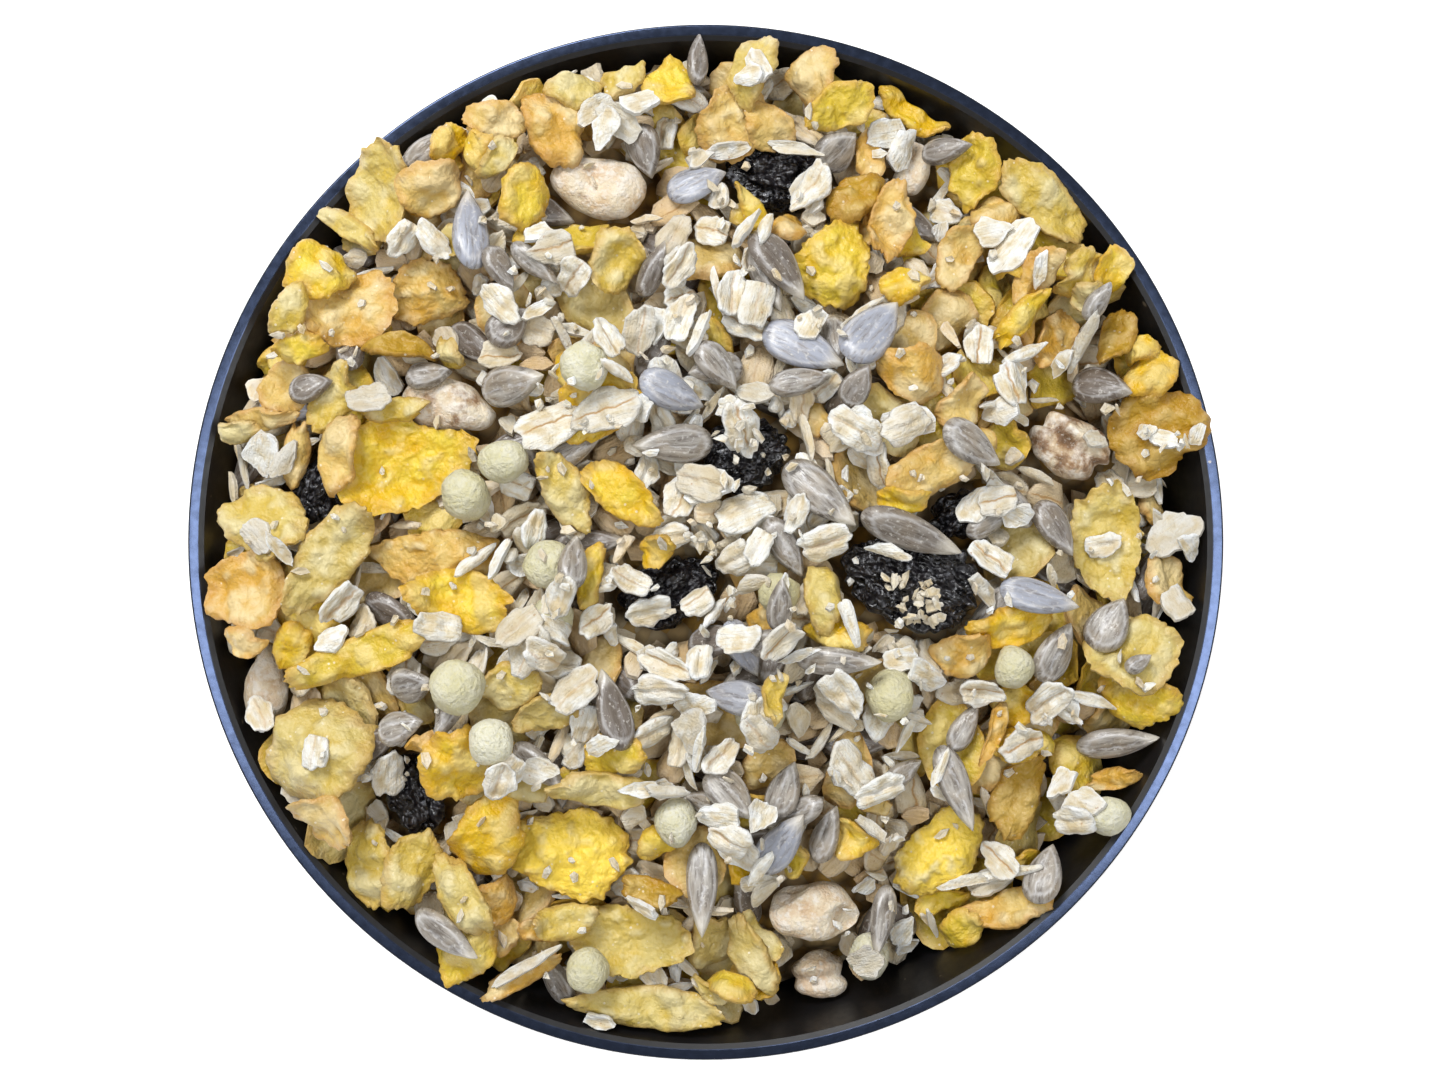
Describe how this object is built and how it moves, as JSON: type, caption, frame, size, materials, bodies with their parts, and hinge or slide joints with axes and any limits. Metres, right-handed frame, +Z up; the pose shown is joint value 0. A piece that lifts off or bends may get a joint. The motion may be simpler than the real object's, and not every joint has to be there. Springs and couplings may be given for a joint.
{
  "type": "bowl of granola",
  "caption": "Round black bowl heaped with loose oat muesli, with corn flakes, sunflower kernels, puffs, raisins and nuts.",
  "frame": {"origin": "middle of the foot ring, on the surface that the bowl stands on", "axes": "+Z up out of the bowl; +Y towards the top of the picture and +X to its right, as seen from above"},
  "size_m": [0.13, 0.13, 0.0593],
  "materials": {
    "bowl": "satin black, smooth, with a thin bright line on the inner edge of the lip",
    "oats": "dry cream oats, matt, with tan creases",
    "raisin": "near-black wrinkled skin with a soft shine and oat dust",
    "nut": "cream with tan and brown toasted spots, matt",
    "corn_flake": "golden yellow, blistered, with a slight shine",
    "seed": "grey-beige kernels with fine lengthwise streaks and a low sheen",
    "puff": "pale yellow, rough and porous"
  },
  "bodies": {
    "root": {"bowl": "bowl", "granola_heap": "oats", "raisin_1": "raisin", "raisin_2": "raisin", "raisin_3": "raisin", "raisin_4": "raisin", "raisin_5": "raisin", "raisin_6": "raisin", "raisin_7": "raisin", "nut_1": "nut", "nut_2": "nut", "nut_3": "nut", "nut_4": "nut", "nut_5": "nut", "nut_6": "nut", "nut_7": "nut", "corn_flake_1": "corn_flake", "corn_flake_2": "corn_flake", "corn_flake_3": "corn_flake", "corn_flake_4": "corn_flake", "corn_flake_5": "corn_flake", "corn_flake_6": "corn_flake", "corn_flake_7": "corn_flake", "corn_flake_8": "corn_flake"}
  },
  "joints": []
}
